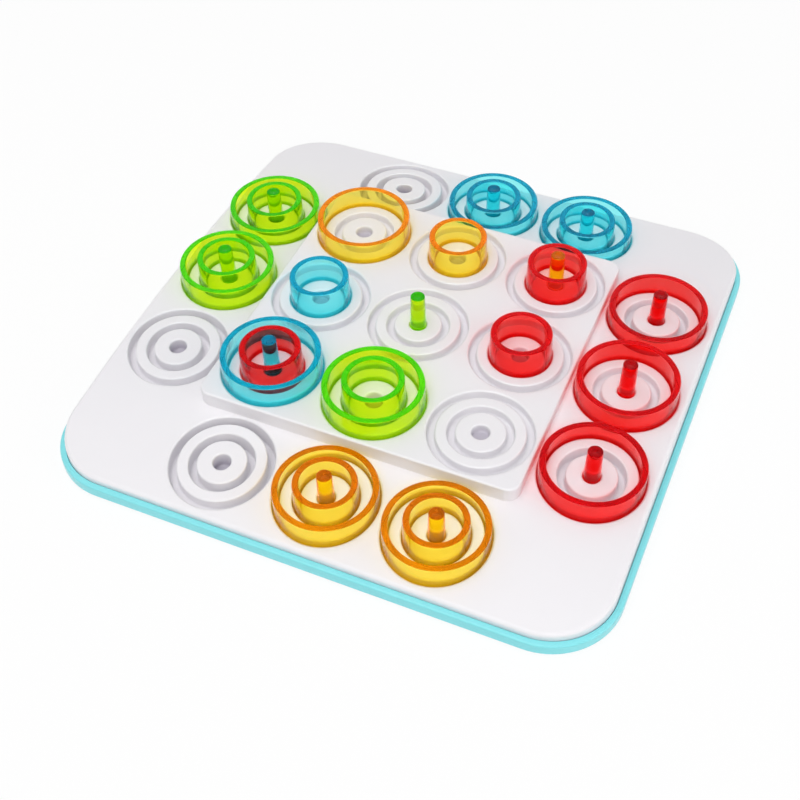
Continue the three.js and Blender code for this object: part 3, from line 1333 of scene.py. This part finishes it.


# The recess colours are painted shade. The tray carries no recess mask, so its painted shade never shows.
WHITE = MouldedPlastic(
    name="white_moulded",
    skin=Skin(dark=rgb("EEECF0"), light=rgb("F2F0F3"), smooth=0.3, rough=0.42),
    painted_recess_shade=rgb("C4BFCA"),
)
TURQUOISE = MouldedPlastic(
    name="turquoise_moulded",
    skin=Skin(dark=rgb("82DFE6"), light=rgb("8AE4EA"), smooth=0.25, rough=0.38),
    painted_recess_shade=rgb("6CCFD8"),
)
# Each rim glow is painted light, emitted at the rims of the clear pieces.
CLEAR = {
    Player.GREEN: ClearPlastic(
        name="green_clear",
        depth_colour=(0.936, 0.987, 0.0),
        density=1200.0,
        tint=rgb("F8FFD8"),
        cast=rgb("F2FACC"),
        sheen=(0.3, 1.0, 0.1),
        painted_rim_light=(0.0, 0.19, 0.0),
    ),
    Player.AMBER: ClearPlastic(
        name="amber_clear",
        depth_colour=(0.999, 0.937, 0.1),
        density=700.0,
        tint=rgb("FFF8E0"),
        cast=rgb("FFF9EC"),
        sheen=(1.0, 0.5, 0.05),
        painted_rim_light=(0.12, 0.04, 0.0),
    ),
    Player.RED: ClearPlastic(
        name="red_clear",
        depth_colour=(0.996, 0.14, 0.1),
        density=940.0,
        tint=rgb("FFE0DC"),
        cast=rgb("FFA09C"),
        sheen=(1.0, 0.1, 0.2),
        painted_rim_light=(0.02, 0.0, 0.0),
    ),
    Player.BLUE: ClearPlastic(
        name="blue_clear",
        depth_colour=(0.0, 0.939, 0.966),
        density=360.0,
        tint=rgb("DCF8FA"),
        cast=rgb("D2F4F8"),
        sheen=(0.1, 0.7, 1.0),
        painted_rim_light=(0.0, 0.02, 0.05),
    ),
}


@dataclass(frozen=True)
class Lamp:
    """A square soft lamp that is aimed at the board."""

    name: str
    place: tuple[float, float, float]
    size: float
    power: float

    def build(self) -> bpy.types.Object:
        """Hangs the lamp.

        Returns:
            The lamp.
        """
        data = bpy.data.lights.new(self.name, "AREA")
        data.shape = "SQUARE"
        data.size = self.size
        data.energy = self.power
        lamp = bpy.data.objects.new(self.name, data)
        lamp.location = self.place
        lamp.rotation_euler = (-Vector(self.place)).to_track_quat("-Z", "Y").to_euler()
        bpy.context.scene.collection.objects.link(lamp)
        return lamp


@dataclass(frozen=True)
class LightPaths:
    """How many times light may turn, enough for a ring that is seen through other rings."""

    max_bounces: int = 24
    glossy_bounces: int = 16
    transmission_bounces: int = 20
    transparent_max_bounces: int = 24

    def apply(self) -> None:
        """Sets the scene's light paths."""
        for name, count in vars(self).items():
            setattr(bpy.context.scene.cycles, name, count)


@dataclass(frozen=True)
class Studio:
    """Camera, lights and floor, with the camera's places in millimetres and the rest in metres."""

    eye: tuple[float, float, float] = (153.398, -355.879, 409.07)
    target: tuple[float, float, float] = (6.022, -34.911, 10.0)
    roll: float = -1.7897
    lens: float = 55.3407
    sensor: float = 36.0
    clip_start: float = 0.01
    sky: float = 0.3
    floor_half: float = 3.0
    floor_drop: float = 0.0002
    floor_tone: float = 0.98
    floor_glow: float = 0.88
    one_bounce: float = 0.5
    paths: LightPaths = LightPaths()
    lamps: tuple[Lamp, ...] = (
        Lamp("front_softbox", place=(0.45, -1.85, 2.1), size=2.4, power=34.0),
        Lamp("top_softbox", place=(-0.2, -0.1, 1.6), size=1.0, power=8.5),
        Lamp("left_softbox", place=(-1.3, 0.0, 0.9), size=1.0, power=1.0),
        Lamp("right_softbox", place=(1.3, -0.1, 0.55), size=0.8, power=4.0),
    )

    def camera(self) -> bpy.types.Object:
        """Places the camera where the photograph was taken from.

        Returns:
            The camera.
        """
        data = bpy.data.cameras.new("camera")
        data.lens = self.lens
        data.sensor_width = self.sensor
        data.clip_start = self.clip_start
        camera = bpy.data.objects.new("camera", data)
        eye, target = (Vector(point) * MILLIMETRE for point in (self.eye, self.target))
        camera.location = eye
        turn = (target - eye).to_track_quat("-Z", "Y")
        camera.rotation_euler = (turn @ Quaternion((0, 0, 1), math.radians(self.roll))).to_euler()
        bpy.context.scene.collection.objects.link(camera)
        bpy.context.scene.camera = camera
        return camera

    def seen(self, nodes: Nodes) -> bpy.types.NodeSocket:
        """Adds nodes that tell what is seen, also mirrored or through clear plastic, from what gives light.

        Args:
            nodes: The tree to add them to.

        Returns:
            An output that is 1 for what is seen and 0 otherwise.
        """
        light = nodes.add("ShaderNodeLightPath", (-500, 300))
        mirrored = nodes.add("ShaderNodeMath", (-300, 300), operation="MAXIMUM")
        through = nodes.add("ShaderNodeMath", (-100, 300), operation="MAXIMUM")
        direct = nodes.add("ShaderNodeMath", (-300, 500), {1: self.one_bounce}, operation="LESS_THAN")
        both = nodes.add("ShaderNodeMath", (0, 400), operation="MULTIPLY")
        nodes.link(light.outputs["Is Camera Ray"], mirrored.inputs[0])
        nodes.link(light.outputs["Is Glossy Ray"], mirrored.inputs[1])
        nodes.link(mirrored.outputs["Value"], through.inputs[0])
        nodes.link(light.outputs["Is Transmission Ray"], through.inputs[1])
        nodes.link(light.outputs["Diffuse Depth"], direct.inputs[0])
        nodes.link(direct.outputs["Value"], both.inputs[0])
        nodes.link(through.outputs["Value"], both.inputs[1])
        return both.outputs["Value"]

    def lights(self) -> None:
        """Lights the scene with a white room and its soft lamps."""
        self.paths.apply()
        world = bpy.data.worlds.new("studio")
        world.use_nodes = True
        nodes = Nodes(world.node_tree)
        white = {"Color": rgba(PURE_WHITE)}
        output = nodes.add("ShaderNodeOutputWorld", (700, 0))
        room = nodes.add("ShaderNodeBackground", (100, 0), {**white, "Strength": self.sky})
        backdrop = nodes.add("ShaderNodeBackground", (100, -200), white)
        mix = nodes.add("ShaderNodeMixShader", (400, 0))
        nodes.link(self.seen(nodes), mix.inputs["Fac"])
        nodes.link(room.outputs["Background"], mix.inputs[1])
        nodes.link(backdrop.outputs["Background"], mix.inputs[2])
        nodes.link(mix.outputs["Shader"], output.inputs["Surface"])
        bpy.context.scene.world = world
        for lamp in self.lamps:
            lamp.build()

    def floor_material(self) -> bpy.types.Material:
        """Makes the floor's finish, which stays white where it is seen and keeps a part of the shadow.

        Returns:
            The new material.
        """
        material, nodes = new_material("floor_white")
        output = nodes.add("ShaderNodeOutputMaterial", (700, 0))
        tone = (self.floor_tone, self.floor_tone, self.floor_tone)
        matt = nodes.add("ShaderNodeBsdfDiffuse", (0, 0), {"Color": rgba(tone)})
        glow = nodes.add("ShaderNodeEmission", (0, -200), {"Color": rgba(PURE_WHITE), "Strength": 1.0})
        share = nodes.add("ShaderNodeMath", (100, 300), {1: self.floor_glow}, operation="MULTIPLY")
        mix = nodes.add("ShaderNodeMixShader", (400, 0))
        nodes.link(self.seen(nodes), share.inputs[0])
        nodes.link(share.outputs["Value"], mix.inputs["Fac"])
        nodes.link(matt.outputs["BSDF"], mix.inputs[1])
        nodes.link(glow.outputs["Emission"], mix.inputs[2])
        nodes.link(mix.outputs["Shader"], output.inputs["Surface"])
        return material

    def floor(self) -> bpy.types.Object:
        """Lays the white floor.

        Returns:
            The floor.
        """
        mesh = bmesh.new()
        bmesh.ops.create_grid(mesh, x_segments=1, y_segments=1, size=self.floor_half)
        bmesh.ops.translate(mesh, verts=mesh.verts[:], vec=(0, 0, -self.floor_drop))
        data = bpy.data.meshes.new("floor")
        mesh.to_mesh(data)
        mesh.free()
        floor = bpy.data.objects.new("floor", data)
        bpy.context.scene.collection.objects.link(floor)
        floor.data.materials.append(self.floor_material())
        return floor


@dataclass
class Game:
    """The whole game: the board, and the pieces where the CAD model has them."""

    sizes: BoardSizes
    nodes: dict[str, bpy.types.Object]
    pieces_each: int = 3

    def board(self) -> Iterator[bpy.types.Object]:
        """Builds and dresses the white top and the tray, and gives the screws their steel.

        Yields:
            Each piece when it is done.
        """
        for shell, finish in (
            (BoardTop("board_top", "board", "white_plastic", self.sizes), WHITE),
            (BaseTray("base_tray", "board", "turquoise_plastic", self.sizes), TURQUOISE),
        ):
            piece = shell.build()
            shell.dress(piece, finish.build())
            yield piece
        steel = TurnedSteel().build()
        for name, node in self.nodes.items():
            if name.startswith("screw_"):
                node.data.materials.clear()
                node.data.materials.append(steel)
                yield node

    def game_piece(self, player: Player, kind: Kind, node: str) -> Ring | Peg:
        """Gives what builds and dresses one game piece.

        Args:
            player: Whose piece it is.
            kind: The kind of piece.
            node: Its CAD node, which is also its body.

        Returns:
            The ring or the peg.
        """
        slot = f"{player.value}_clear_plastic"
        if kind is Kind.PEG:
            return Peg(node, node, slot, self.sizes.peg)
        return Ring(node, node, slot, self.sizes.large if kind is Kind.LARGE_RING else self.sizes.medium)

    def player_set(self, player: Player) -> Iterator[bpy.types.Object]:
        """Builds and dresses the nine pieces of one player.

        Args:
            player: The player.

        Yields:
            Each piece when it is done.
        """
        material = CLEAR[player].build()
        for kind in Kind:
            for number in range(1, self.pieces_each + 1):
                node = f"{player.value}_{kind.value}_{number}"
                low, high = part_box(node)
                foot = Vector(((low.x + high.x) / 2, (low.y + high.y) / 2, low.z)) / MILLIMETRE
                builder = self.game_piece(player, kind, node)
                piece = builder.build(foot)
                builder.dress(piece, material)
                yield piece

    def pieces(self) -> Iterator[bpy.types.Object]:
        """Builds and dresses everything, the board first.

        Yields:
            Each piece when it is done.
        """
        yield from self.board()
        for player in Player:
            yield from self.player_set(player)


def main() -> None:
    """Builds the scene."""
    logging.basicConfig(level=logging.INFO, format="%(message)s")
    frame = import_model()
    studio = Studio()
    studio.camera()
    studio.lights()
    studio.floor()
    for piece in Game(BoardSizes(), frame["nodes"]).pieces():
        LOG.info("%s: %d faces, %s", piece.name, len(piece.data.polygons), piece.data.materials[0].name)
    bpy.context.scene.view_settings.view_transform = "Standard"


if __name__ == "__main__":
    main()
